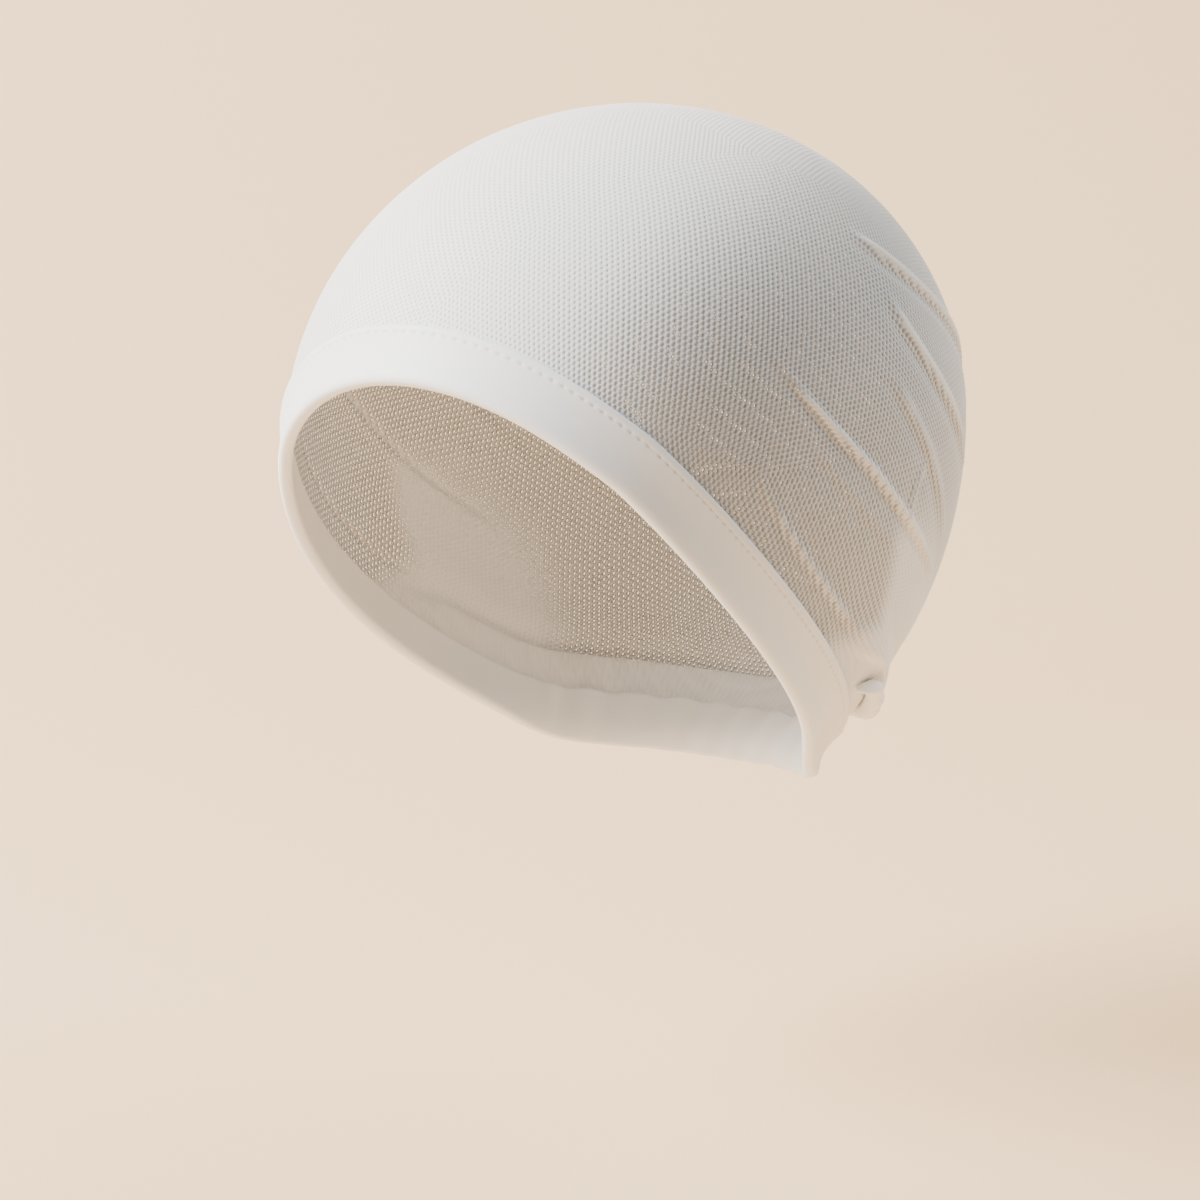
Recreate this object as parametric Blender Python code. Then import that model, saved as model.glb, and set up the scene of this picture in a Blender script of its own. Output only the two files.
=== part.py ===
"""Stretch mesh wig cap, in the form that it takes when it is worn.

Metres, +Z up, front at -Y. The origin is the inside of the crown's top, where the cap sits on a head.
The mesh crown runs down into a folded edge band, and at the nape its spare mesh hangs as a small
pouch over a rolled tuck. Angles: "down" is measured from the top, "around" from the centre of the
forehead, and the cap is the same on its two sides apart from small folds.
"""
import math

import bpy
from mathutils import Vector

# Form of the worn mesh, measured on its outside
HEAD_WIDTH = 0.156
HEAD_DEPTH = 0.1997
CROWN_RISE = 0.0814
NAPE_REACH = 0.0973
NECK_WIDTH = 0.0894
NECK_DEPTH = 0.094
NECK_BLEND = 12

# Mesh, band and roll
KNIT_WALL = 0.0008
BAND_WIDTH = 0.0148
BAND_PLY = 0.0008
BAND_PUFF = 0.0004
INNER_STEP = 0.001
FIT_GAP = 0.0003
ROLL_THICKNESS = 0.0036
POUCH_DEPTH = 0.0004
POUCH_RISE = 0.016
FOLD_HEIGHT = 0.002
FOLD_WIDTH = 0.0044
RUFFLE_HEIGHT = 0.0006

# Facets
STATIONS = 80
NAPE_DENSITY = 0.5
UPPER_RINGS = 21
INNER_SKIP = 2
ROLL_SIDES = 8
CLIMB_STEPS = 14

# Lower edge of the band: how far down it runs (degrees), at equal steps around from the front to the nape
RIM_DOWN = (73.8, 83.8, 112.2, 139.6, 156.3, 162.4, 164.8)

# Where the pouch and the roll begin and reach their full size, and where they lie, degrees around
POUCH_START, POUCH_FULL = 86.0, 112.0
ROLL_START, ROLL_FULL = 91.0, 104.0
RUFFLE_START, RUFFLE_FULL = 112.0, 135.0
RUFFLE_COUNT = 15

# Tension folds of the mesh. Columns: side (1 right, -1 left, as shares of the turn), then down and around
# (degrees) at the start, the middle and the end, then height and width as shares of FOLD_HEIGHT and FOLD_WIDTH
FOLDS = (
    # side, down, around, down, around, down, around, height, width
    (1, 66, 63, 88, 80, 110, 109, 0.80, 0.80),
    (1, 86, 59, 103, 71, 118, 89, 0.55, 0.75),
    (1, 82, 68, 93, 78, 105, 93, 0.22, 0.90),
    (1, 48, 94, 60, 107, 82, 135, 1.00, 1.15),
    (1, 61, 96, 74, 101, 95, 120, 0.80, 1.25),
    (1, 74, 89, 86, 96, 104, 110, 0.55, 1.30),
    (1, 91, 100, 95, 95, 101, 94, 0.35, 0.90),
    (-1, 64, 64, 86, 80, 110, 110, 0.75, 0.85),
    (-1, 87, 60, 103, 72, 118, 90, 0.50, 0.80),
    (-1, 50, 95, 63, 108, 84, 135, 0.90, 1.20),
    (-1, 66, 90, 79, 98, 99, 119, 0.70, 1.20),
    (1, 96, 141, 116, 146, 138, 152, 0.85, 1.30),
    (1, 84, 160, 108, 163, 140, 168, 0.95, 1.35),
    (-1, 92, 174, 112, 173, 140, 174, 0.80, 1.30),
    (-1, 86, 154, 110, 156, 139, 160, 0.95, 1.40),
    (-1, 98, 136, 118, 140, 137, 147, 0.80, 1.25),
)
FOLD_SPANS = 8

# Mesh just above the band. Columns: how far up the plain mesh runs there, as a share of POUCH_RISE, then
# where the full pouch has that ring: up as a share of POUCH_RISE, out as a share of POUCH_DEPTH, and
# how much of the roll's thickness it clears
POUCH_RINGS = (
    # plain up, pouch up, pouch out, over the roll
    (0.06, 0.290, 0.00, 0.00),
    (0.12, 0.335, 0.20, 0.60),
    (0.19, 0.360, 0.60, 0.93),
    (0.30, 0.490, 1.00, 1.00),
    (0.46, 0.630, 0.80, 0.70),
    (0.68, 0.800, 0.40, 0.30),
    (1.00, 1.000, 0.10, 0.05),
)

COLOURS = {
    "mesh_crown": (0.83, 0.82, 0.80, 1.0),
    "edge_band": (0.88, 0.88, 0.87, 1.0),
    "nape_roll": (0.84, 0.83, 0.81, 1.0),
}

BAND_FACE = FIT_GAP + BAND_PLY
BAND_BACK = -KNIT_WALL - FIT_GAP - BAND_PLY
HEM_HEIGHT = BAND_PLY + FIT_GAP
SEAT_HEIGHT = CROWN_RISE - KNIT_WALL
MEAN_RADIUS = (HEAD_WIDTH + HEAD_DEPTH) / 4
PROBE = 1e-4


def smooth(value, low, high):
    """Eases from 0 at low to 1 at high."""
    share = min(max((value - low) / (high - low), 0.0), 1.0)
    return share * share * (3 - 2 * share)


def from_front(around):
    """Angle from the centre of the forehead, 0 to 180 degrees, on either side."""
    degrees = math.degrees(around) % 360.0
    return min(degrees, 360.0 - degrees)


def narrowed(sine, neck_share):
    """Width share of a level: the head's own roundness, never slimmer than the neck."""
    return (sine ** NECK_BLEND + neck_share ** NECK_BLEND) ** (1.0 / NECK_BLEND)


def form_point(down, around):
    """A point of the smooth form that the outside of the mesh follows."""
    wide = deep = math.sin(down)
    reach = CROWN_RISE
    if math.cos(down) < 0:
        wide = narrowed(math.sin(down), NECK_WIDTH / HEAD_WIDTH)
        deep = narrowed(math.sin(down), NECK_DEPTH / HEAD_DEPTH)
        reach = NAPE_REACH
    return Vector((HEAD_WIDTH / 2 * wide * math.sin(around),
                   -HEAD_DEPTH / 2 * deep * math.cos(around),
                   reach * math.cos(down) - SEAT_HEIGHT))


def form_slopes(down, around):
    """The form's change for each radian down and around, and its outward normal."""
    along_down = (form_point(down + PROBE, around) - form_point(down - PROBE, around)) / (2 * PROBE)
    along_around = (form_point(down, around + PROBE) - form_point(down, around - PROBE)) / (2 * PROBE)
    return along_down, along_around, along_down.cross(along_around).normalized()


def lifted(down, around, out):
    """A point at a distance outside the form."""
    return form_point(down, around) + form_slopes(down, around)[2] * out


def rim_down(around):
    """Angle down to the band's lower edge: the smooth even wave through RIM_DOWN."""
    last = len(RIM_DOWN) - 1
    total = 0.0
    for wave in range(last + 1):
        amount = 0.0
        for index, value in enumerate(RIM_DOWN):
            weight = 0.5 if index in (0, last) else 1.0
            amount += weight * value * math.cos(math.pi * wave * index / last)
        share = 1.0 if wave in (0, last) else 2.0
        total += share * amount * math.cos(wave * around) / last
    return math.radians(total)


def climb(around):
    """Runs square up the form from the band's lower edge; returns (down, around) at equal steps."""
    down = rim_down(around)
    ahead = form_point(rim_down(around + PROBE), around + PROBE)
    behind = form_point(rim_down(around - PROBE), around - PROBE)
    normal = form_slopes(down, around)[2]
    heading = (ahead - behind).cross(normal).normalized()
    if heading.z < 0:
        heading.negate()
    track = [(down, around)]
    step = BAND_WIDTH / CLIMB_STEPS
    for _ in range(CLIMB_STEPS):
        along_down, along_around, normal = form_slopes(down, around)
        heading = (heading - normal * heading.dot(normal)).normalized()
        dd, da, aa = along_down.dot(along_down), along_down.dot(along_around), along_around.dot(along_around)
        hd, ha = heading.dot(along_down), heading.dot(along_around)
        scale = step / (dd * aa - da * da)
        down += (hd * aa - ha * da) * scale
        around += (ha * dd - hd * da) * scale
        track.append((down, around))
    return track


def on_track(track, height):
    """(down, around) at a height above the band's lower edge; past the band it goes straight up the head."""
    if height > BAND_WIDTH:
        down, around = track[-1]
        return down - (height - BAND_WIDTH) / form_slopes(down, around)[0].length, around
    place = max(height, 0.0) / BAND_WIDTH * CLIMB_STEPS
    index = min(int(place), CLIMB_STEPS - 1)
    share = place - index
    first, second = track[index], track[index + 1]
    return (first[0] + (second[0] - first[0]) * share, first[1] + (second[1] - first[1]) * share)


def fold_line(fold):
    """Points (down, around) along one fold, on a smooth curve through its three places."""
    side, down_0, around_0, down_1, around_1, down_2, around_2 = fold[:7]
    line = []
    for index in range(FOLD_SPANS + 1):
        t = index / FOLD_SPANS
        start, middle, end = (1 - t) * (1 - 2 * t), 4 * t * (1 - t), t * (2 * t - 1)
        line.append((math.radians(start * down_0 + middle * down_1 + end * down_2),
                     side * math.radians(start * around_0 + middle * around_1 + end * around_2)))
    return line


FOLD_LINES = [fold_line(fold) for fold in FOLDS]


def fold_height(down, around):
    """How far the tension folds lift the mesh at one place."""
    turn = math.remainder(around, 2 * math.pi)
    height = 0.0
    for fold, line in zip(FOLDS, FOLD_LINES):
        nearest = None
        for index in range(FOLD_SPANS):
            (down_0, around_0), (down_1, around_1) = line[index], line[index + 1]
            squeeze = math.sin((down_0 + down_1) / 2)
            run = Vector(((around_1 - around_0) * squeeze, down_1 - down_0))
            gap = math.remainder(turn - around_0, 2 * math.pi)
            here = Vector((gap * squeeze, down - down_0))
            share = min(max(here.dot(run) / run.length_squared, 0.0), 1.0)
            distance = (here - run * share).length * MEAN_RADIUS
            if nearest is None or distance < nearest[0]:
                nearest = (distance, (index + share) / FOLD_SPANS)
        distance, along = nearest
        fade = smooth(along, 0.0, 0.35) * (1 - 0.6 * smooth(along, 0.75, 1.0))
        height += fold[7] * FOLD_HEIGHT * fade * math.exp(-(distance / (fold[8] * FOLD_WIDTH)) ** 2)
    return height


def add_object(name, points, faces):
    """A closed mesh object with its own material."""
    mesh = bpy.data.meshes.new(name)
    mesh.from_pydata(points, [], faces)
    mesh.update()
    mesh.shade_smooth()
    material = bpy.data.materials.new(name)
    material.use_nodes = True
    shader = material.node_tree.nodes["Principled BSDF"]
    shader.inputs["Base Color"].default_value = COLOURS[name]
    shader.inputs["Roughness"].default_value = 0.8
    shader.inputs["Metallic"].default_value = 0.0
    mesh.materials.append(material)
    solid = bpy.data.objects.new(name, mesh)
    bpy.context.collection.objects.link(solid)
    return solid


def station_angles():
    """Angles around, closer together towards the nape."""
    turns = [2 * math.pi * index / STATIONS for index in range(STATIONS)]
    return [turn + NAPE_DENSITY * math.sin(turn) for turn in turns]


def strip_faces(low, high, count, inward=False):
    """Triangles between two closed rows of points; walls that face each other get the same diagonals."""
    faces = []
    for index in range(count):
        after = (index + 1) % count
        first = (low + index, low + after, high + after)
        second = (low + index, high + after, high + index)
        faces += [first[::-1], second[::-1]] if inward else [first, second]
    return faces


def crown_rows(track, around):
    """The mesh's outer and inner points at one station, from its hem to just below the top."""
    outer, inner = [], []
    for height in (HEM_HEIGHT, (HEM_HEIGHT + BAND_WIDTH) / 2, BAND_WIDTH):
        place = on_track(track, height)
        outer.append(lifted(*place, 0.0))
        inner.append(lifted(*place, -KNIT_WALL))
    pouch = smooth(from_front(around), POUCH_START, POUCH_FULL)
    roll_top = FIT_GAP + ROLL_THICKNESS
    path = [(0.0, 0.0)]
    for plain_up, pouch_up, pouch_out, over_roll in POUCH_RINGS:
        rise = POUCH_RISE * (plain_up + (pouch_up - plain_up) * pouch)
        out = pouch * (POUCH_DEPTH * pouch_out + roll_top * over_roll)
        path.append((rise, out))
    path.append((path[-1][0] + POUCH_RISE, 0.0))
    for index in range(1, len(path) - 1):
        run = Vector(path[index + 1]) - Vector(path[index - 1])
        back = Vector((run.y, -run.x)).normalized() * KNIT_WALL
        rise, out = path[index]
        place = on_track(track, BAND_WIDTH + rise)
        outer.append(lifted(*place, out + fold_height(*place) * smooth(rise, 0.0, POUCH_RISE / 2)))
        place = on_track(track, BAND_WIDTH + rise + back.x)
        inner.append(lifted(*place, out + back.y))
    start, turn = on_track(track, BAND_WIDTH + POUCH_RISE)
    settled = path[-2][1]
    for ring in range(1, UPPER_RINGS):
        share = ring / UPPER_RINGS
        down = start * (1 - share)
        out = settled * (1 - smooth(share, 0.0, 0.35))
        outer.append(lifted(down, turn, out + fold_height(down, turn)))
        if ring % INNER_SKIP == 0:
            inner.append(lifted(down, turn, out - KNIT_WALL))
    return outer, inner


def build_mesh_crown(tracks, angles):
    """Knit mesh dome: one wall from the hem in the band up to the top, with its tension folds."""
    columns = [crown_rows(track, around) for track, around in zip(tracks, angles)]
    outer_rings, inner_rings = len(columns[0][0]), len(columns[0][1])
    points = []
    for ring in range(outer_rings):
        points += [column[0][ring] for column in columns]
    for ring in range(inner_rings):
        points += [column[1][ring] for column in columns]
    outer_top, inner_top = len(points), len(points) + 1
    points += [Vector((0, 0, CROWN_RISE - SEAT_HEIGHT)), Vector((0, 0, CROWN_RISE - KNIT_WALL - SEAT_HEIGHT))]
    faces = []
    for ring in range(outer_rings - 1):
        faces += strip_faces(ring * STATIONS, (ring + 1) * STATIONS, STATIONS)
    inner_start = outer_rings * STATIONS
    for ring in range(inner_rings - 1):
        low = inner_start + ring * STATIONS
        faces += strip_faces(low, low + STATIONS, STATIONS, inward=True)
    faces += strip_faces(inner_start, 0, STATIONS)
    last_outer, last_inner = (outer_rings - 1) * STATIONS, inner_start + (inner_rings - 1) * STATIONS
    for index in range(STATIONS):
        after = (index + 1) % STATIONS
        faces.append((last_outer + index, last_outer + after, outer_top))
        faces.append((last_inner + after, last_inner + index, inner_top))
    return add_object("mesh_crown", points, faces)


def band_section(around):
    """Closed outline of the folded band: height above the lower edge, and distance outside the mesh."""
    ruffle = RUFFLE_HEIGHT * smooth(from_front(around), RUFFLE_START, RUFFLE_FULL)
    ruffle *= 0.5 - 0.5 * math.cos(around * RUFFLE_COUNT * 360 / (360 - 2 * RUFFLE_START))
    middle = (HEM_HEIGHT + BAND_WIDTH) / 2
    slot_back = -KNIT_WALL - FIT_GAP
    fold = (BAND_FACE + BAND_BACK) / 2
    return (
        (BAND_WIDTH, BAND_FACE),
        (BAND_WIDTH * 0.70, BAND_FACE),
        (BAND_WIDTH * 0.32, BAND_FACE + BAND_PUFF * 0.5 + ruffle),
        (BAND_WIDTH * 0.10, BAND_FACE + BAND_PUFF * 0.4 + ruffle),
        (0.0, fold),
        (BAND_WIDTH * 0.10, BAND_BACK),
        (middle, BAND_BACK),
        (BAND_WIDTH - INNER_STEP, BAND_BACK),
        (BAND_WIDTH - INNER_STEP, slot_back),
        (middle, slot_back),
        (BAND_PLY, slot_back),
        (BAND_PLY, FIT_GAP),
        (middle, FIT_GAP),
        (BAND_WIDTH, FIT_GAP),
    )


def build_edge_band(tracks, angles):
    """Folded band round the rim: an outer and an inner layer, with the mesh's hem between them."""
    points = []
    sections = [band_section(around) for around in angles]
    count = len(sections[0])
    for corner in range(count):
        for track, section in zip(tracks, sections):
            height, out = section[corner]
            points.append(lifted(*on_track(track, height), out))
    faces = []
    for corner in range(count):
        after = (corner + 1) % count
        if sections[0][after][0] > sections[0][corner][0]:
            faces += strip_faces(corner * STATIONS, after * STATIONS, STATIONS, inward=True)
        else:
            faces += strip_faces(after * STATIONS, corner * STATIONS, STATIONS)
    return add_object("edge_band", points, faces)


def build_nape_roll(tracks, angles):
    """Rolled tuck of spare mesh that lies above the band's upper edge, under the pouch."""
    inside = [index for index, around in enumerate(angles) if from_front(around) >= ROLL_START]
    points, faces = [], []
    for index in inside:
        size = 0.35 + 0.65 * smooth(from_front(angles[index]), ROLL_START, ROLL_FULL)
        radius = ROLL_THICKNESS / 2 * size
        for side in range(ROLL_SIDES):
            turn = 2 * math.pi * side / ROLL_SIDES
            height = BAND_WIDTH + FIT_GAP + radius + radius * math.sin(turn)
            out = FIT_GAP + radius + radius * math.cos(turn)
            points.append(lifted(*on_track(tracks[index], height), out))
    for place in range(len(inside) - 1):
        row = place * ROLL_SIDES
        faces += strip_faces(row + ROLL_SIDES, row, ROLL_SIDES)
    last = (len(inside) - 1) * ROLL_SIDES
    faces.append(tuple(range(ROLL_SIDES)))
    faces.append(tuple(last + side for side in reversed(range(ROLL_SIDES))))
    return add_object("nape_roll", points, faces)


def main():
    for old in list(bpy.data.objects):
        bpy.data.objects.remove(old)
    angles = station_angles()
    tracks = [climb(around) for around in angles]
    build_mesh_crown(tracks, angles)
    build_edge_band(tracks, angles)
    build_nape_roll(tracks, angles)


main()
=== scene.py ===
"""Looks of the stretch mesh wig cap: its knit net, folded edge band and nape roll, with floor, lights and camera.

Metres, +Z up, front at -Y. The origin is the inside of the crown's top. "Down" is an angle from the top and
"around" an angle from the centre of the forehead. "Height" is the distance up from the band's lower edge.
"""
import math

import bpy
import numpy as np
from mathutils import Matrix, Vector, kdtree


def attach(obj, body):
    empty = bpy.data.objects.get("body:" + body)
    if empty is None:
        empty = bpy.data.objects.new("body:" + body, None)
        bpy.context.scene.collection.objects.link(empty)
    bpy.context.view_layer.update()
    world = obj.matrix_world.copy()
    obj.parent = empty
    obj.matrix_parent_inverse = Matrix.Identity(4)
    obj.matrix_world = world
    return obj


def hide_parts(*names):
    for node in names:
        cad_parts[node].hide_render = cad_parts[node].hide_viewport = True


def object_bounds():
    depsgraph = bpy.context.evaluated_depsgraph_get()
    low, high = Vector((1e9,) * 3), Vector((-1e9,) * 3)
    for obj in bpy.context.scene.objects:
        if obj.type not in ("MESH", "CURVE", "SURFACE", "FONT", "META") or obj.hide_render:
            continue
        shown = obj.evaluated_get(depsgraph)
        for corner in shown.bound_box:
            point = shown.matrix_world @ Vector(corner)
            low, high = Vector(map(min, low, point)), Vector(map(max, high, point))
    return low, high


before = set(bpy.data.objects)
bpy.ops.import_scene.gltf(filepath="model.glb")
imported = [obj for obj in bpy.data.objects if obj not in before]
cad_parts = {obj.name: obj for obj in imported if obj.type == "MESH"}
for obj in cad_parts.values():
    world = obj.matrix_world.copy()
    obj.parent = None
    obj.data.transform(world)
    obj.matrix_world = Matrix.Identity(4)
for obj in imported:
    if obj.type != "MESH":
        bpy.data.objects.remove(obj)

cad_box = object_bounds()

# Form of the worn mesh, as in the part
HEAD_WIDTH = 0.156
HEAD_DEPTH = 0.1997
CROWN_RISE = 0.0814
NAPE_REACH = 0.0973
NECK_WIDTH = 0.0894
NECK_DEPTH = 0.094
NECK_BLEND = 12
KNIT_WALL = 0.0008
BAND_WIDTH = 0.0148
BAND_FACE = 0.0011
BAND_BACK = -0.0019
SEAT_HEIGHT = CROWN_RISE - KNIT_WALL
RIM_DOWN = (73.8, 83.8, 112.2, 139.6, 156.3, 162.4, 164.8)
POUCH_START, POUCH_FULL = 82.0, 97.0
ROLL_START, ROLL_FULL = 86.0, 92.0
RUFFLE_START, RUFFLE_FULL = 112.0, 135.0

# Knit net
NET_FREQUENCY = 70
NET_DEPTH = 0.00045
NET_FACE = -0.0002
STROKE_HEIGHT = 0.0002
STRAND_SINK = 0.0002
NET_HEM = 0.009
NET_TILT = 69.0
NET_CENTRE = (55.0, 45.0)

# Edge band
BAND_STATIONS = 1200
BAND_PROFILE_POINTS = 72
STITCH_PITCH = 0.0025
STITCH_HEIGHT = 0.0127

# Camera and stage, from the photograph's own frame of 1200 x 1200 pixels
PICTURE = 1200
CAMERA_TURN = 33.9
CAMERA_RISE = 11.2
CAMERA_DISTANCE = 1.0858
CENTRE_PIXEL = (631.7, 429.6)
LENS = 130.0
SENSOR = 36.0
FLOOR_DROP = 0.083


def smooth(value, low, high):
    share = np.clip((value - low) / (high - low), 0.0, 1.0)
    return share * share * (3 - 2 * share)


def unit(vectors):
    return vectors / np.linalg.norm(vectors, axis=-1, keepdims=True)


def from_front(around):
    return np.degrees(np.abs(np.arctan2(np.sin(around), np.cos(around))))


def narrowed(sine, neck_share):
    return ((sine ** NECK_BLEND + neck_share ** NECK_BLEND) / (1 + neck_share ** NECK_BLEND)) ** (1.0 / NECK_BLEND)


def form_points(down, around):
    """Points of the smooth worn form, which the outside of the mesh follows."""
    sine = np.maximum(np.sin(down), 0.0)
    low = np.cos(down) < 0
    wide = np.where(low, narrowed(sine, NECK_WIDTH / HEAD_WIDTH), sine)
    deep = np.where(low, narrowed(sine, NECK_DEPTH / HEAD_DEPTH), sine)
    reach = np.where(low, NAPE_REACH, CROWN_RISE)
    return np.stack([HEAD_WIDTH / 2 * wide * np.sin(around),
                     -HEAD_DEPTH / 2 * deep * np.cos(around),
                     reach * np.cos(down) - SEAT_HEIGHT], axis=-1)


def form_slopes(down, around):
    probe = 1e-4
    along_down = (form_points(down + probe, around) - form_points(down - probe, around)) / (2 * probe)
    along_around = (form_points(down, around + probe) - form_points(down, around - probe)) / (2 * probe)
    return along_down, along_around, unit(np.cross(along_down, along_around))


def rim_down(around):
    """Angle down to the band's lower edge: the smooth even wave through RIM_DOWN."""
    last = len(RIM_DOWN) - 1
    total = np.zeros_like(around)
    for wave in range(last + 1):
        amount = 0.0
        for index, value in enumerate(RIM_DOWN):
            weight = 0.5 if index in (0, last) else 1.0
            amount += weight * value * math.cos(math.pi * wave * index / last)
        share = 1.0 if wave in (0, last) else 2.0
        total = total + share * amount * np.cos(wave * around) / last
    return np.radians(total)


def climb(around, reach, steps):
    """Runs square up the form from the band's lower edge at every station; rows of down and around."""
    probe = 1e-4
    down = rim_down(around)
    ahead = form_points(rim_down(around + probe), around + probe)
    behind = form_points(rim_down(around - probe), around - probe)
    heading = unit(np.cross(ahead - behind, form_slopes(down, around)[2]))
    heading = heading * np.sign(heading[:, 2:])
    rows = [(down, around)]
    for _ in range(steps):
        along_down, along_around, normal = form_slopes(down, around)
        heading = unit(heading - normal * np.sum(heading * normal, axis=1, keepdims=True))
        dd = np.sum(along_down * along_down, axis=1)
        da = np.sum(along_down * along_around, axis=1)
        aa = np.sum(along_around * along_around, axis=1)
        hd = np.sum(heading * along_down, axis=1)
        ha = np.sum(heading * along_around, axis=1)
        scale = reach / steps / (dd * aa - da * da)
        down = down + (hd * aa - ha * da) * scale
        around = around + (ha * dd - hd * da) * scale
        rows.append((down, around))
    return np.array([row[0] for row in rows]), np.array([row[1] for row in rows])


def even_stations(count):
    """Angles around at equal distances along the rim, with the rim's length."""
    angles = np.linspace(0.0, 2 * math.pi, 2881)
    edge = form_points(rim_down(angles), angles)
    run = np.concatenate([[0.0], np.cumsum(np.linalg.norm(np.diff(edge, axis=0), axis=1))])
    return np.interp(np.arange(count) * run[-1] / count, run, angles), run[-1]


def on_tracks(tracks, heights, outs):
    """Points at a height along each station's track and a distance outside the form."""
    downs, arounds = tracks
    steps = len(downs) - 1
    place = np.clip(heights / TRACK_REACH * steps, 0.0, steps - 1e-6)
    index = place.astype(int)
    share = place - index
    column = np.arange(downs.shape[1])
    down = downs[index, column] * (1 - share) + downs[index + 1, column] * share
    around = arounds[index, column] * (1 - share) + arounds[index + 1, column] * share
    return form_points(down, around) + form_slopes(down, around)[2] * outs[:, None]


TRACK_REACH = 0.03
TRACK_STEPS = 30


def new_mesh(name, points, quads, normals=None):
    mesh = bpy.data.meshes.new(name)
    mesh.from_pydata(points, [], quads)
    mesh.update()
    mesh.shade_smooth()
    if normals is not None:
        mesh.normals_split_custom_set_from_vertices(normals)
    piece = bpy.data.objects.new(name, mesh)
    bpy.context.collection.objects.link(piece)
    return piece


def closed_spline(points, count):
    """Points at equal steps of index on a closed smooth curve through the given ones."""
    points = np.array(points, dtype=float)
    total = len(points)
    out = []
    for step in range(count):
        place = step * total / count
        index = int(place)
        t = place - index
        a, b, c, d = (points[(index + shift) % total] for shift in (-1, 0, 1, 2))
        out.append(0.5 * (2 * b + (c - a) * t + (2 * a - 5 * b + 4 * c - d) * t * t + (3 * b - a - 3 * c + d) * t ** 3))
    return np.array(out)


# Knit net

FOLDS = (
    # down, around at the start, the middle and the end, then height and width in units of the fold sizes
    (66, 63, 88, 80, 110, 109, 0.80, 0.80),
    (86, 59, 103, 71, 118, 89, 0.55, 0.75),
    (82, 68, 93, 78, 105, 93, 0.22, 0.90),
    (48, 94, 60, 107, 82, 135, 1.00, 1.15),
    (61, 96, 74, 101, 95, 120, 0.80, 1.25),
    (74, 89, 86, 96, 104, 110, 0.55, 1.30),
    (91, 100, 95, 95, 101, 94, 0.35, 0.90),
    (64, -64, 86, -80, 110, -110, 0.75, 0.85),
    (87, -60, 103, -72, 118, -90, 0.50, 0.80),
    (50, -95, 63, -108, 84, -135, 0.90, 1.20),
    (66, -90, 79, -98, 99, -119, 0.70, 1.20),
    (96, 141, 116, 146, 138, 152, 0.85, 1.30),
    (84, 160, 108, 163, 140, 168, 0.95, 1.35),
    (92, 174, 112, 173, 140, 174, 0.80, 1.30),
    (86, 154, 110, 156, 139, 160, 0.95, 1.40),
    (98, 136, 118, 140, 137, 147, 0.80, 1.25),
)
FOLD_HEIGHT = 0.0013
FOLD_WIDTH = 0.0015
FOLD_GROOVE = 0.4

POUCH_PATH = (
    # distance along the mesh from the band's upper edge, then height above that edge and distance out
    (0.0, 0.0, 0.0),
    (0.002, 0.0104, 0.0),
    (0.0034, 0.0116, 0.0012),
    (0.0047, 0.0119, 0.0023),
    (0.0064, 0.0125, 0.0028),
    (0.0088, 0.0142, 0.0020),
    (0.0120, 0.0166, 0.0008),
    (0.0155, 0.0193, 0.0001),
    (0.0200, 0.0225, 0.0),
    (0.0260, 0.0266, 0.0000),
    (0.0300, 0.0300, 0.0000),
)


# Each panel's cut: width, length and flat area
NET_CUTS = {
    "net_front": (0.09, 0.115, 0.0060),
    "net_right_front": (0.09, 0.20, 0.0118),
    "net_right_back": (0.115, 0.26, 0.0178),
    "net_back": (0.11, 0.26, 0.0172),
    "net_left_back": (0.115, 0.26, 0.0178),
    "net_left_front": (0.09, 0.20, 0.0118),
}


def fold_field(points):
    """Height of the tension folds at each point, and how close it is to a fold's ridge, 0 to 1."""
    height = np.zeros(len(points))
    near = np.zeros(len(points))
    spread = np.linspace(0.0, 1.0, 33)
    for fold in FOLDS:
        start = (1 - spread) * (1 - 2 * spread)
        middle = 4 * spread * (1 - spread)
        end = spread * (2 * spread - 1)
        down = np.radians(start * fold[0] + middle * fold[2] + end * fold[4])
        around = np.radians(start * fold[1] + middle * fold[3] + end * fold[5])
        line = form_points(down, around)
        gap = np.full(len(points), 1.0)
        along = np.zeros(len(points))
        beside = np.zeros(len(points))
        for index in range(len(line) - 1):
            run = line[index + 1] - line[index]
            offset = points - line[index]
            share = np.clip(offset @ run / (run @ run), 0.0, 1.0)
            distance = np.linalg.norm(offset - share[:, None] * run, axis=1)
            closer = distance < gap
            aside = np.cross(unit(line[index] + [0.0, 0.0, SEAT_HEIGHT]), run / np.linalg.norm(run))
            aside = aside * np.sign(aside @ -(VIEW_RIGHT + VIEW_UP))
            beside = np.where(closer, offset @ aside, beside)
            gap = np.where(closer, distance, gap)
            along = np.where(closer, (index + share) / (len(line) - 1), along)
        fade = smooth(along, 0.0, 0.35) * (1 - 0.6 * smooth(along, 0.75, 1.0))
        width = fold[7] * FOLD_WIDTH
        ridge = fade * np.exp(-(gap / width) ** 2)
        groove = fade * np.exp(-((beside - 1.9 * width) / (1.2 * width)) ** 2) * (gap < 5 * width)
        height += fold[6] * FOLD_HEIGHT * (ridge - FOLD_GROOVE * groove)
        near = np.maximum(near, fold[6] * ridge)
    return height, near


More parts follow.
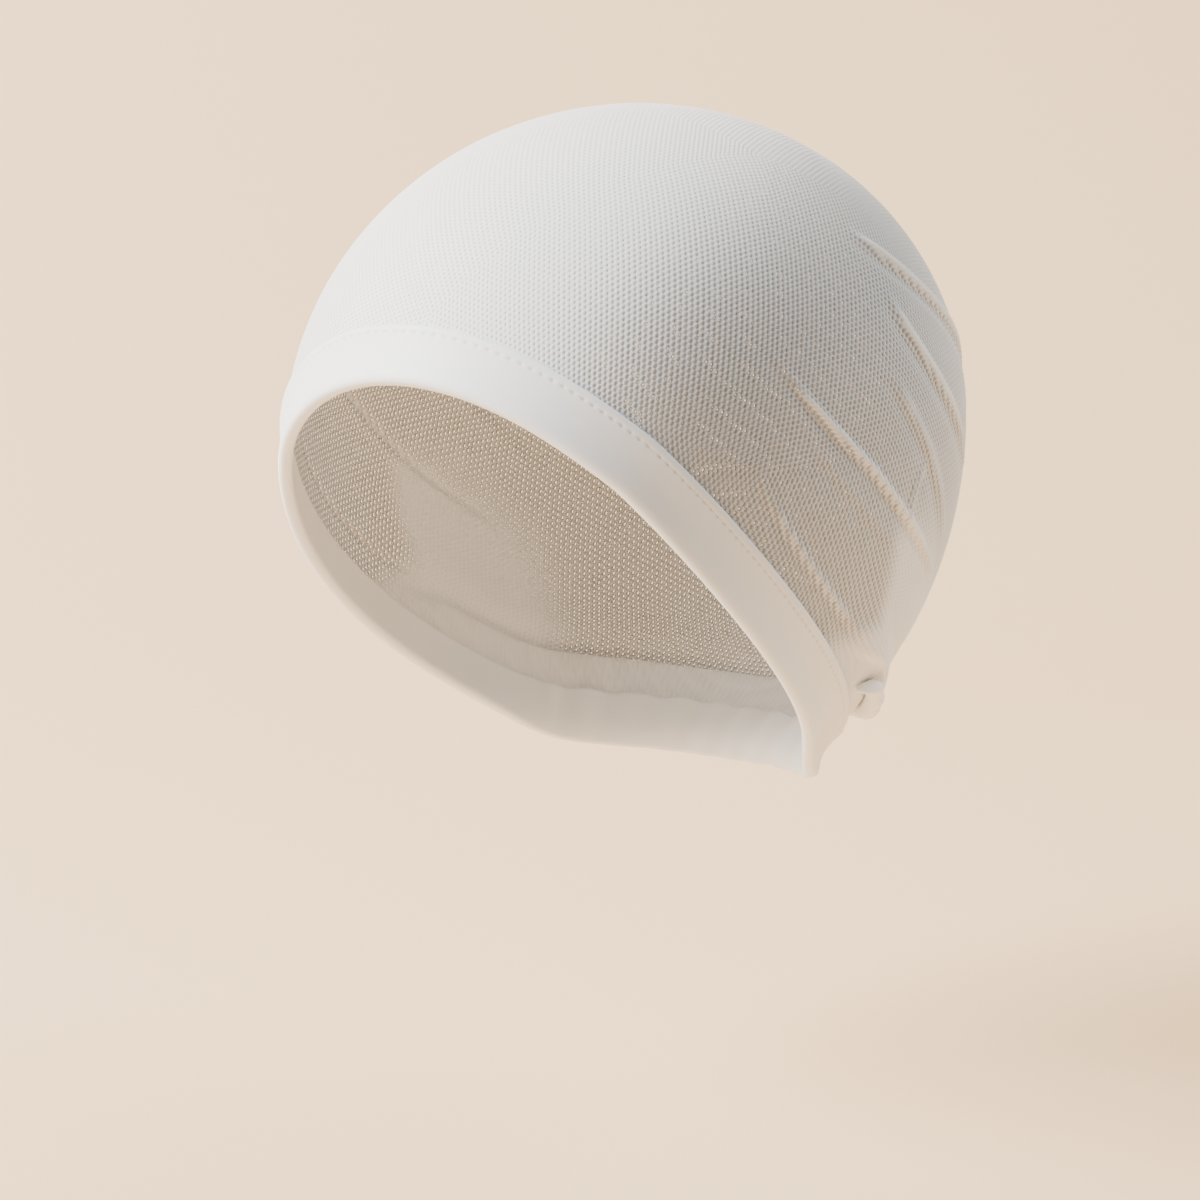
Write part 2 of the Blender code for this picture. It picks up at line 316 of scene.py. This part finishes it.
def net_lattice():
    """Directions of the net's cells on a unit ball, and the triangles that join neighbouring cells."""
    golden = (1 + math.sqrt(5)) / 2
    poles = unit(np.array([(x, y * golden, 0.0) for x in (-1, 1) for y in (-1, 1)]
                          + [(0.0, x, y * golden) for x in (-1, 1) for y in (-1, 1)]
                          + [(y * golden, 0.0, x) for x in (-1, 1) for y in (-1, 1)]))
    sides = [(a, b, c) for a in range(12) for b in range(a + 1, 12) for c in range(b + 1, 12)
             if min(poles[a] @ poles[b], poles[b] @ poles[c], poles[a] @ poles[c]) > 0.4]
    arc = math.acos(poles[sides[0][0]] @ poles[sides[0][1]])
    steps = NET_FREQUENCY
    grid = [(i, j) for i in range(steps + 1) for j in range(steps + 1 - i)]
    place = {ij: index for index, ij in enumerate(grid)}
    weights = np.array([(i, j, steps - i - j) for i, j in grid]) / steps
    small = [(place[i, j], place[i + 1, j], place[i, j + 1]) for i, j in grid if i + j < steps]
    small += [(place[i + 1, j], place[i + 1, j + 1], place[i, j + 1]) for i, j in grid if i + j < steps - 1]
    small = np.array(small)
    cells, corners = [], []
    for index, (a, b, c) in enumerate(sides):
        if np.cross(poles[b] - poles[a], poles[c] - poles[a]) @ poles[a] < 0:
            b, c = c, b
        cells.append(unit(np.sin(weights * arc) @ poles[[a, b, c]]))
        corners.append(small + index * len(grid))
    cells, corners = np.concatenate(cells), np.concatenate(corners)
    _, first, same = np.unique(np.round(cells, 5) + 0.0, axis=0, return_index=True, return_inverse=True)
    cells, corners = cells[first], same.reshape(-1)[corners]
    a, b, c = sides[0]
    middle = unit(poles[a] + poles[b] + poles[c])
    edge = unit(poles[b] - poles[c])
    down, around = np.radians(NET_CENTRE)
    target = np.array([math.sin(down) * math.sin(around), -math.sin(down) * math.cos(around), math.cos(down)])
    upright = VIEW_UP - target * (VIEW_UP @ target)
    upright = upright / np.linalg.norm(upright)
    source = np.stack([middle, edge, np.cross(middle, edge)])
    aim = np.stack([target, upright, np.cross(target, upright)])
    return cells @ source.T @ aim, corners


def settled(directions, rim_tree, rim_points):
    """Where the net lies: its points, outward normals, height above the rim, and fold closeness."""
    down = np.arccos(np.clip(directions[:, 2], -1.0, 1.0))
    around = np.arctan2(directions[:, 0], -directions[:, 1])
    points = form_points(down, around)
    normals = form_slopes(down, around)[2]
    found = [rim_tree.find(point)[1:] for point in points]
    nearest = np.array([index for index, _ in found])
    height = np.array([distance for _, distance in found])
    below = down > rim_down(around)
    height = np.where(below, -height, height)
    fold, near = fold_field(points)
    fold = fold * smooth(height, BAND_WIDTH, BAND_WIDTH + 0.008)
    rise = unit(points - rim_points[nearest] + 1e-9)
    rise = unit(rise - normals * np.sum(rise * normals, axis=1, keepdims=True))
    pouch = smooth(from_front(around), POUCH_START, POUCH_FULL)
    above = np.clip(height - BAND_WIDTH, 0.0, None)
    table = np.array(POUCH_PATH)
    lift = np.interp(above, table[:, 0], table[:, 1]) - np.minimum(above, table[-1, 0])
    out = np.interp(above, table[:, 0], table[:, 2])
    points = points + rise * (lift * pouch)[:, None] + normals * (out * pouch + fold)[:, None]
    return points, normals, height, near, from_front(around), np.degrees(down), np.degrees(around)


def build_net():
    cells, corners = net_lattice()
    angles = np.linspace(0.0, 2 * math.pi, 1500, endpoint=False)
    rim_points = form_points(rim_down(angles), angles)
    rim_tree = kdtree.KDTree(len(rim_points))
    for index, point in enumerate(rim_points):
        rim_tree.insert(point, index)
    rim_tree.balance()
    joints = unit(cells[corners].mean(axis=1))
    cell_points, cell_normals, cell_height, cell_near, cell_front, cell_down, cell_around = settled(cells, rim_tree, rim_points)
    ridge_points, ridge_normals, _, _, _, _, _ = settled(joints, rim_tree, rim_points)
    # Openness of each hole, along and across the raised strokes, its depth, and the shade painted into it: painted
    # shade that is stronger where "facing" is high, on the front and sides below the crown, and weaker on folds,
    # gathers and the tuck
    facing = smooth(cell_front, 12.0, 60.0) * smooth(cell_down + 0.25 * cell_front, 45.0, 88.0)
    gathered = smooth(cell_front, 88.0, 94.0) * smooth(cell_down, 94.0, 104.0) * (1 - smooth(cell_height, 0.045, 0.07))
    gathered = np.maximum(gathered, smooth(cell_down, 114.0, 120.0) * smooth(cell_front, 70.0, 80.0))
    gathered = gathered * (1 - smooth(cell_front, 112.0, 130.0))
    tucked = smooth(cell_front, 84.0, 98.0) * (1 - smooth(cell_height, 0.019, 0.023))
    closing = (1 - 0.75 * smooth(cell_near, 0.3, 0.75)) * (1 - 0.75 * gathered) * (1 - 0.85 * tucked)
    relief = (0.3 + 0.7 * facing * (1 - 0.5 * gathered)) * (1 - 0.6 * smooth(cell_near, 0.3, 0.75))
    wide = (0.12 + 0.06 * facing) * closing
    long = (0.34 + 0.14 * facing) * closing
    shade = (0.3 + 0.7 * facing) * closing
    stroke = VIEW_RIGHT * math.cos(math.radians(NET_TILT)) + VIEW_UP * math.sin(math.radians(NET_TILT))
    stroke = unit(stroke - cell_normals * (cell_normals @ stroke)[:, None])
    reach = ridge_points[:, None, :] - cell_points[corners]
    along = np.sum(reach * stroke[corners], axis=2, keepdims=True)
    across = reach - stroke[corners] * along
    holes = cell_points[corners] + stroke[corners] * along * long[corners][..., None] + across * wide[corners][..., None]
    holes = holes + ridge_normals[:, None, :] * (NET_FACE - NET_DEPTH * relief[corners])[..., None]
    ridges = ridge_points + ridge_normals * NET_FACE
    # Each pair of triangles that share an edge is a strand, with a slope to the hole on either side
    count = len(corners)
    first = corners.reshape(-1)
    second = np.roll(corners, -1, axis=1).reshape(-1)
    triangle = np.repeat(np.arange(count), 3)
    slot = np.tile(np.arange(3), count)
    next_slot = (slot + 1) % 3
    key = np.minimum(first, second) * len(cells) + np.maximum(first, second)
    order = np.argsort(key, kind="stable").reshape(-1, 2)
    one, two = order[:, 0], order[:, 1]
    # The middle of every strand is raised where it runs with the strokes and sunk where it crosses them
    run = unit(ridge_points[triangle[one]] - ridge_points[triangle[two]])
    slant = np.abs(np.sum(run * stroke[first[one]], axis=1))
    with_stroke = smooth(slant, 0.72, 0.95)
    level = smooth(np.abs(run @ VIEW_RIGHT), 0.75, 0.95)
    rise = STROKE_HEIGHT * with_stroke - STRAND_SINK * (1 - with_stroke) * (0.6 + 0.4 * level)
    rise = rise * relief[first[one]]
    middles = (ridge_points[triangle[one]] + ridge_points[triangle[two]]) / 2
    middles = middles + ridge_normals[triangle[one]] * (NET_FACE + rise)[:, None]
    points = np.concatenate([ridges, holes.reshape(-1, 3), middles])
    # Painted shade: each point gets a darkness, little on the ridges, full at the hole edges and some on the strands
    # that cross the strokes, which darkens the yarn colour toward the holes
    joint_shade = shade[corners].mean(axis=1)
    painted_pit_shade = np.concatenate([0.15 * joint_shade, shade[corners].reshape(-1),
                          (1 - with_stroke) * (0.45 + 0.1 * level) * shade[first[one]]])
    faces, owners = [], []
    middle = 4 * count + np.arange(len(one))
    for near_side, far_side in ((one, two), (two, one)):
        near_ridge, far_ridge = triangle[near_side], triangle[far_side]
        near_hole = count + 3 * triangle[near_side] + slot[near_side]
        far_hole = count + 3 * triangle[far_side] + next_slot[far_side]
        for corner in ((far_ridge, middle, far_hole), (middle, near_ridge, near_hole), (middle, near_hole, far_hole)):
            faces.append(np.stack(corner, axis=1))
            owners.append(first[near_side])
    faces = np.concatenate(faces)
    owners = np.concatenate(owners)
    kept = cell_height[owners] > NET_HEM
    faces, owners = faces[kept], owners[kept]
    # Smooth normals of the whole net, so that its panels shade as one
    sides = np.cross(points[faces[:, 1]] - points[faces[:, 0]], points[faces[:, 2]] - points[faces[:, 0]])
    normals = np.zeros_like(points)
    for corner in range(3):
        np.add.at(normals, faces[:, corner], sides)
    normals = normals / np.maximum(np.linalg.norm(normals, axis=1, keepdims=True), 1e-20)
    sector = np.floor(((cell_around[owners] + 390.0) % 360.0) / 60.0).astype(int)
    names = list(NET_CUTS)
    panels = []
    for index, name in enumerate(names):
        mine = faces[sector == index]
        used, renamed = np.unique(mine, return_inverse=True)
        panel = new_mesh(name, points[used].tolist(), renamed.reshape(-1, 3).tolist(), normals[used].tolist())
        panel.data.attributes.new("painted_pit_shade", "FLOAT", "POINT").data.foreach_set("value", painted_pit_shade[used])
        panels.append(panel)
    return panels


# Edge band

BAND_PROFILE = (
    # height as a share of BAND_WIDTH, out as a share from BAND_BACK (0) to BAND_FACE (1)
    (0.985, 0.97),
    (0.95, 1.03),
    (0.90, 1.02),
    (0.87, 0.985),
    (0.84, 0.99),
    (0.81, 0.96),
    (0.72, 0.91),
    (0.60, 0.88),
    (0.45, 0.90),
    (0.28, 1.05),
    (0.15, 1.18),
    (0.05, 1.06),
    (0.0, 0.60),
    (0.04, 0.10),
    (0.18, 0.0),
    (0.45, 0.0),
    (0.75, 0.0),
    (0.92, 0.02),
    (0.94, 0.20),
    (0.93, 0.36),
    (0.93, 0.60),
    (0.96, 0.74),
    (1.0, 0.86),
)
RUFFLE_DEPTH = 0.0007
RUFFLE_PITCH = 0.0105


def build_band():
    stations, length = even_stations(BAND_STATIONS)
    tracks = climb(stations, TRACK_REACH, TRACK_STEPS)
    profile = closed_spline(BAND_PROFILE, BAND_PROFILE_POINTS)
    run = np.arange(BAND_STATIONS) * length / BAND_STATIONS
    stitches = round(length / STITCH_PITCH)
    phase = (run / length * stitches) % 1.0
    phase = np.minimum(phase, 1 - phase) * STITCH_PITCH
    ruffle = smooth(from_front(stations), RUFFLE_START - 10, RUFFLE_FULL - 10)
    rows, painted_dimple_shade = [], []
    for height_share, out_share in profile:
        height = np.full(BAND_STATIONS, height_share * BAND_WIDTH)
        out = np.full(BAND_STATIONS, BAND_BACK + (BAND_FACE - BAND_BACK) * out_share)
        if out_share > 0.8:
            # The stitch dimples are pressed in, and painted shade darkens them as well
            dimple = np.exp(-((height - STITCH_HEIGHT) / 0.0004) ** 2) * np.exp(-(phase / 0.0004) ** 2)
            out = out - 0.00022 * dimple
            painted_dimple_shade.append(0.4 * dimple)
        else:
            painted_dimple_shade.append(np.zeros(BAND_STATIONS))
        wave = np.sin(2 * math.pi * run / RUFFLE_PITCH + 1.7 * np.sin(run / 0.013) + height_share * 1.5)
        out = out + RUFFLE_DEPTH * ruffle * wave * (0.4 + 0.6 * height_share)
        rows.append(on_tracks(tracks, height, out))
    points = np.concatenate(rows)
    count = len(profile)
    quads = []
    for row in range(count):
        after = (row + 1) % count
        low = np.arange(BAND_STATIONS)
        high = (low + 1) % BAND_STATIONS
        quads.append(np.stack([row * BAND_STATIONS + low, after * BAND_STATIONS + low,
                               after * BAND_STATIONS + high, row * BAND_STATIONS + high], axis=1))
    quads = np.concatenate(quads)
    band = new_mesh("band_cloth", points.tolist(), quads.tolist())
    band.data.attributes.new("painted_pit_shade", "FLOAT", "POINT").data.foreach_set("value", np.concatenate(painted_dimple_shade))
    # Weave coordinates: metres along the rim and across the band
    across = np.concatenate([[0.0], np.cumsum(np.linalg.norm(np.diff(profile * [BAND_WIDTH, 0.003], axis=0), axis=1))])
    row, column = quads // BAND_STATIONS, quads % BAND_STATIONS
    along = run[column]
    along[(column == 0) & (column.max(axis=1, keepdims=True) > 1)] = length
    lift = across[row]
    lift[(row == 0) & (row.max(axis=1, keepdims=True) > 1)] = across[-1] + across[1]
    weave = band.data.uv_layers.new(name="weave")
    weave.data.foreach_set("uv", np.stack([along, lift], axis=2).reshape(-1))
    return band


ROLL_RADIUS = 0.0023
ROLL_RISE = 0.0055


def build_roll():
    stations, length = even_stations(1200)
    inside = np.nonzero(from_front(stations) >= ROLL_START)[0]
    tracks = climb(stations[inside], TRACK_REACH, TRACK_STEPS)
    share = np.clip((from_front(stations[inside]) - ROLL_START) / (ROLL_FULL - ROLL_START), 0.0, 1.0)
    size = np.maximum(0.15, np.sqrt(share * (2 - share)))
    rising = smooth(share, -0.6, 0.8)
    sides = 20
    rows = []
    for side in range(sides):
        turn = 2 * math.pi * side / sides
        radius = ROLL_RADIUS * size * (1 + 0.07 * np.sin(length * stations[inside] / 0.013))
        height = BAND_WIDTH + (ROLL_RISE + ROLL_RADIUS) * rising + radius * math.sin(turn)
        out = 0.0002 + radius + radius * math.cos(turn)
        rows.append(on_tracks(tracks, height, out))
    count = len(inside)
    points = np.concatenate(rows)
    quads = []
    for side in range(sides):
        after = (side + 1) % sides
        for place in range(count - 1):
            quads.append((side * count + place, side * count + place + 1, after * count + place + 1, after * count + place))
    ends = [tuple(side * count for side in range(sides)), tuple(side * count + count - 1 for side in reversed(range(sides)))]
    return new_mesh("nape_tuck", points.tolist(), quads + ends)


def yarn(name, light, painted_shade_colour, roughness, grain, depth, weave=0.0):
    """Knit yarn: light on its raised strands, with shade painted into its pits by darkening the colour from a per-point
    attribute, a fine grain and slight uneven colour.
    """
    material = bpy.data.materials.new(name)
    material.use_nodes = True
    nodes, links = material.node_tree.nodes, material.node_tree.links
    shader = nodes["Principled BSDF"]
    shader.inputs["Roughness"].default_value = roughness
    shader.inputs["Sheen Weight"].default_value = 0.2
    shader.inputs["Sheen Roughness"].default_value = 0.5
    place = nodes.new("ShaderNodeTexCoord")
    patch = nodes.new("ShaderNodeTexNoise")
    patch.inputs["Scale"].default_value = 45.0
    patch.inputs["Detail"].default_value = 5.0
    links.new(place.outputs["Object"], patch.inputs["Vector"])
    uneven = nodes.new("ShaderNodeMixRGB")
    uneven.inputs["Color1"].default_value = (*light, 1.0)
    uneven.inputs["Color2"].default_value = (*(value * 0.95 for value in light), 1.0)
    links.new(patch.outputs["Fac"], uneven.inputs["Fac"])
    # Painted shade: the per-point attribute blends the colour toward the shade colour in pits and dimples
    painted_pit_shade = nodes.new("ShaderNodeAttribute")
    painted_pit_shade.attribute_name = "painted_pit_shade"
    shade = nodes.new("ShaderNodeMixRGB")
    shade.inputs["Color2"].default_value = (*painted_shade_colour, 1.0)
    links.new(painted_pit_shade.outputs["Fac"], shade.inputs["Fac"])
    links.new(uneven.outputs["Color"], shade.inputs["Color1"])
    links.new(shade.outputs["Color"], shader.inputs["Base Color"])
    fibre = nodes.new("ShaderNodeTexNoise")
    fibre.inputs["Scale"].default_value = grain
    fibre.inputs["Detail"].default_value = 4.0
    links.new(place.outputs["Object"], fibre.inputs["Vector"])
    relief = fibre.outputs["Fac"]
    if weave:
        for direction in ("X", "Y"):
            rib = nodes.new("ShaderNodeTexWave")
            rib.bands_direction = direction
            rib.inputs["Scale"].default_value = weave if direction == "X" else weave * 0.7
            rib.inputs["Distortion"].default_value = 0.6
            links.new(place.outputs["UV"], rib.inputs["Vector"])
            blend = nodes.new("ShaderNodeMath")
            blend.operation = "ADD"
            links.new(relief, blend.inputs[0])
            links.new(rib.outputs["Fac"], blend.inputs[1])
            relief = blend.outputs["Value"]
    bump = nodes.new("ShaderNodeBump")
    bump.inputs["Distance"].default_value = depth
    links.new(relief, bump.inputs["Height"])
    links.new(bump.outputs["Normal"], shader.inputs["Normal"])
    return material


def view_axes():
    turn, rise = math.radians(CAMERA_TURN), math.radians(CAMERA_RISE)
    back = np.array([math.sin(turn) * math.cos(rise), -math.cos(turn) * math.cos(rise), math.sin(rise)])
    right = np.array([math.cos(turn), math.sin(turn), 0.0])
    return right, np.cross(back, right), back


VIEW_RIGHT, VIEW_UP, VIEW_BACK = view_axes()


def add_camera():
    camera = bpy.data.cameras.new("camera")
    camera.lens = LENS
    camera.sensor_width = SENSOR
    camera.clip_start = 0.05
    camera.clip_end = 20
    piece = bpy.data.objects.new("camera", camera)
    bpy.context.collection.objects.link(piece)
    scale = SENSOR / LENS / PICTURE * CAMERA_DISTANCE
    centre = np.array([0.0, 0.0, -SEAT_HEIGHT])
    place = (centre + VIEW_BACK * CAMERA_DISTANCE
             - VIEW_RIGHT * (CENTRE_PIXEL[0] - PICTURE / 2) * scale
             + VIEW_UP * (CENTRE_PIXEL[1] - PICTURE / 2) * scale)
    piece.matrix_world = Matrix([[VIEW_RIGHT[row], VIEW_UP[row], VIEW_BACK[row], place[row]] for row in range(3)]
                                + [[0, 0, 0, 1]])
    bpy.context.scene.camera = piece


def add_light(name, azimuth, elevation, distance, size, power, colour):
    light = bpy.data.lights.new(name, "AREA")
    light.shape = "DISK"
    light.size = size
    light.energy = power
    light.color = colour
    piece = bpy.data.objects.new(name, light)
    bpy.context.collection.objects.link(piece)
    turn, rise = math.radians(azimuth), math.radians(elevation)
    way = Vector((math.sin(turn) * math.cos(rise), -math.cos(turn) * math.cos(rise), math.sin(rise)))
    piece.location = Vector((0, 0, -SEAT_HEIGHT)) + way * distance
    piece.rotation_euler = way.to_track_quat("Z", "Y").to_euler()


def add_stage():
    floor = cad_box[0][2] - FLOOR_DROP
    back = -VIEW_BACK * np.array([1, 1, 0])
    back = back / np.linalg.norm(back)
    points, quads = [], []
    profile = [(-3.0, 0.0), (0.5, 0.0)]
    profile += [(0.5 + 0.5 * math.sin(math.radians(a)), 0.5 - 0.5 * math.cos(math.radians(a))) for a in range(10, 91, 10)]
    profile += [(1.0, 3.0)]
    for depth, rise in profile:
        for side in (-3.0, 3.0):
            place = back * depth + VIEW_RIGHT * side
            points.append((place[0], place[1], floor + rise))
    for index in range(len(profile) - 1):
        low = index * 2
        quads.append((low, low + 1, low + 3, low + 2))
    sweep = new_mesh("floor_and_backdrop", points, quads)
    material = bpy.data.materials.new("backdrop")
    material.use_nodes = True
    nodes, links = material.node_tree.nodes, material.node_tree.links
    shader = nodes["Principled BSDF"]
    shader.inputs["Base Color"].default_value = (0.64, 0.46, 0.29, 1.0)
    shader.inputs["Roughness"].default_value = 0.9
    shader.inputs["Emission Color"].default_value = (1.0, 0.655, 0.32, 1.0)
    # Painted light: the floor and backdrop glow, faintly on the floor nearest the camera and brightly from under the
    # cap back to the wall, standing in for light falling on them; the glow also lights the cap
    place = nodes.new("ShaderNodeTexCoord")
    depth = nodes.new("ShaderNodeVectorMath")
    depth.operation = "DOT_PRODUCT"
    depth.inputs[1].default_value = tuple(back)
    painted_backdrop_glow = nodes.new("ShaderNodeMapRange")
    painted_backdrop_glow.inputs["From Min"].default_value = -0.35
    painted_backdrop_glow.inputs["From Max"].default_value = -0.05
    painted_backdrop_glow.inputs["To Min"].default_value = 0.02
    painted_backdrop_glow.inputs["To Max"].default_value = 0.84
    links.new(place.outputs["Object"], depth.inputs[0])
    links.new(depth.outputs["Value"], painted_backdrop_glow.inputs["Value"])
    links.new(painted_backdrop_glow.outputs["Result"], shader.inputs["Emission Strength"])
    sweep.data.materials.append(material)


def add_world():
    world = bpy.data.worlds.new("room")
    world.use_nodes = True
    world.node_tree.nodes["Background"].inputs["Color"].default_value = (0.72, 0.94, 1.16, 1.0)
    world.node_tree.nodes["Background"].inputs["Strength"].default_value = 0.24
    bpy.context.scene.world = world


panels = build_net()
# net_yarn: the yarn's own colour, then the colour of the shade painted into the holes
net_cloth = yarn("net_yarn", (0.905, 0.915, 0.915), (0.28, 0.265, 0.25), 0.75, 2600.0, 0.00006)
for panel in panels:
    panel.data.materials.append(net_cloth)
    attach(panel, "root")
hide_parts("mesh_crown")
band = build_band()
# band_satin: the band's own colour, then the colour of the shade painted into the stitch dimples
band.data.materials.append(yarn("band_satin", (0.87, 0.89, 0.905), (0.5, 0.45, 0.4), 0.55, 3200.0, 0.000008, 700.0))
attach(band, "root")
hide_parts("edge_band")
roll = build_roll()
roll.data.materials.append(yarn("roll_yarn", (0.905, 0.915, 0.915), (0.5, 0.45, 0.4), 0.75, 1500.0, 0.0001))
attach(roll, "root")
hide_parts("nape_roll")

add_camera()
add_stage()
add_world()
add_light("key", -42.0, 36.0, 1.6, 1.0, 114.0, (1.0, 0.98, 0.95))
add_light("side_fill", 140.0, 40.0, 2.0, 1.2, 30.0, (0.86, 0.95, 1.0))
